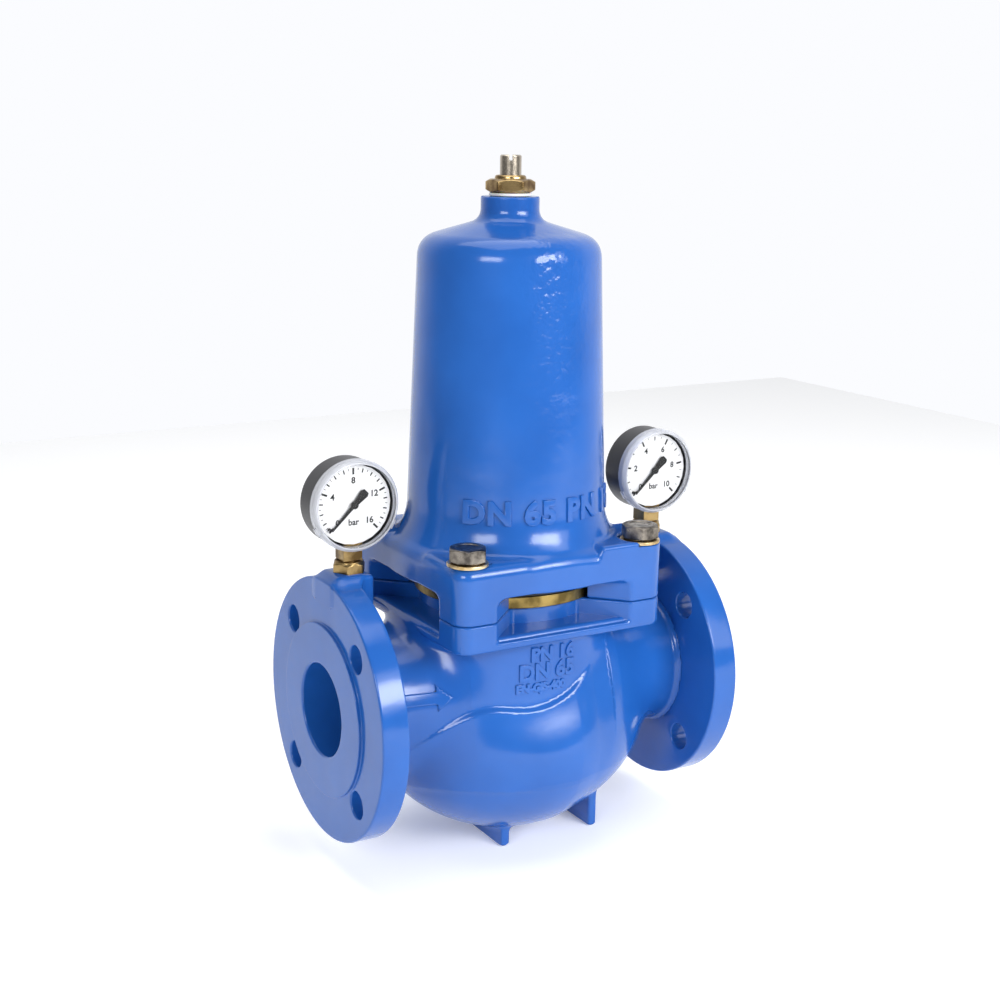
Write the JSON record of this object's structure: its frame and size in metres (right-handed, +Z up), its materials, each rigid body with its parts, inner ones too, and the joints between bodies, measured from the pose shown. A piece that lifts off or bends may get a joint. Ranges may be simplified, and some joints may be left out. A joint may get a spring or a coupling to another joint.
{
  "type": "pressure reducing valve",
  "caption": "Flanged spring-loaded pressure reducing valve: globe body, tall spring bonnet with set screw, inlet and outlet gauges.",
  "frame": {"origin": "on the floor under the middle of the valve, halfway between the two pipe flanges", "axes": "+X along the pipe in the flow direction, +Z up along the spring and stem, +Y away from the side that the gauges face"},
  "size_m": [0.3092, 0.185, 0.489],
  "materials": {
    "blue_coating": "glossy blue fusion-bonded epoxy on ductile iron",
    "brass": "machined brass",
    "zinc_steel": "zinc-plated steel",
    "stainless_steel": "turned stainless steel",
    "spring_steel": "oiled spring steel",
    "nylon": "natural nylon",
    "rubber": "black EPDM",
    "black_plastic": "satin black ABS",
    "clear_plastic": "clear moulded window",
    "dial_white": "white printed dial",
    "pointer_black": "matt black"
  },
  "bodies": {
    "valve": {"valve_body": "blue_coating", "spring_bonnet": "blue_coating", "bolt_washer_1": "zinc_steel", "bolt_washer_2": "zinc_steel", "bolt_washer_3": "zinc_steel", "bolt_washer_4": "zinc_steel", "bonnet_bolt_1": "zinc_steel", "bonnet_bolt_2": "zinc_steel", "bonnet_bolt_3": "zinc_steel", "bonnet_bolt_4": "zinc_steel", "seat_ring": "brass", "insert_housing": "brass", "insert_o_ring_lower": "rubber", "insert_o_ring_upper": "rubber", "diaphragm": "rubber", "adjusting_spring": "spring_steel", "inlet_gauge_case": "black_plastic", "inlet_gauge_window": "clear_plastic", "inlet_gauge_dial": "dial_white", "inlet_gauge_socket": "brass", "inlet_gauge_ring_nut": "brass", "inlet_gauge_bourdon_tube": "brass", "inlet_gauge_movement_plate": "brass", "outlet_gauge_case": "black_plastic", "outlet_gauge_window": "clear_plastic", "outlet_gauge_dial": "dial_white", "outlet_gauge_socket": "brass", "outlet_gauge_ring_nut": "brass", "outlet_gauge_bourdon_tube": "brass", "outlet_gauge_movement_plate": "brass"},
    "stem": {"valve_stem": "stainless_steel", "disc_holder": "brass", "disc_seal": "rubber", "disc_retainer": "brass", "stem_nut_lower": "zinc_steel", "balance_piston": "brass", "piston_seal": "rubber", "support_plate": "brass", "spring_plate_lower": "zinc_steel", "stem_nut_upper": "zinc_steel"},
    "spring_plate": {"spring_plate_upper": "zinc_steel"},
    "screw": {"adjusting_screw": "stainless_steel"},
    "washer": {"seal_washer": "nylon"},
    "nut": {"lock_nut": "brass"},
    "inlet_pointer": {"inlet_gauge_pointer": "pointer_black"},
    "inlet_sector": {"inlet_gauge_sector_gear": "brass"},
    "outlet_pointer": {"outlet_gauge_pointer": "pointer_black"},
    "outlet_sector": {"outlet_gauge_sector_gear": "brass"}
  },
  "joints": [
    {"name": "stem_lift", "type": "slide", "parent": "valve", "child": "stem", "axis": [0, 0, 1], "range_m": [0, 0.01], "deforming": ["diaphragm"]},
    {"name": "plate_travel", "type": "slide", "parent": "valve", "child": "spring_plate", "axis": [0, 0, 1], "range_m": [-0.014, 0.006], "deforming": ["adjusting_spring"]},
    {"name": "screw_turn", "type": "hinge", "parent": "spring_plate", "child": "screw", "pos_m": [0, 0, 0.44], "axis": [0, 0, 1], "range_deg": [-2521, 1081]},
    {"name": "nut_lift", "type": "slide", "parent": "valve", "child": "washer", "axis": [0, 0, 1], "range_m": [0, 0.006]},
    {"name": "nut_turn", "type": "hinge", "parent": "washer", "child": "nut", "pos_m": [0, 0, 0.468], "axis": [0, 0, 1], "range_deg": [0, 1081]},
    {"name": "inlet_pointer_turn", "type": "hinge", "parent": "valve", "child": "inlet_pointer", "pos_m": [-0.123, 0, 0.2595], "axis": [0, 1, 0], "range_deg": [0, 270], "stiffness_Nm_per_rad": 0.00005, "springref_deg": -11.46},
    {"name": "inlet_sector_swing", "type": "hinge", "parent": "valve", "child": "inlet_sector", "pos_m": [-0.123, 0, 0.24645], "axis": [0, 1, 0], "range_deg": [-29.5, 0]},
    {"name": "outlet_pointer_turn", "type": "hinge", "parent": "valve", "child": "outlet_pointer", "pos_m": [0.123, 0, 0.2595], "axis": [0, 1, 0], "range_deg": [0, 270], "stiffness_Nm_per_rad": 0.00005, "springref_deg": -11.46},
    {"name": "outlet_sector_swing", "type": "hinge", "parent": "valve", "child": "outlet_sector", "pos_m": [0.123, 0, 0.24645], "axis": [0, 1, 0], "range_deg": [-29.5, 0]}
  ],
  "couplings": [
    {"joint": "screw_turn", "follows": "plate_travel", "rad_per_m": 3141.6},
    {"joint": "nut_turn", "follows": "nut_lift", "rad_per_m": 3141.6},
    {"joint": "inlet_sector_swing", "follows": "inlet_pointer_turn", "ratio": -0.1087},
    {"joint": "outlet_sector_swing", "follows": "outlet_pointer_turn", "ratio": -0.1087}
  ]
}
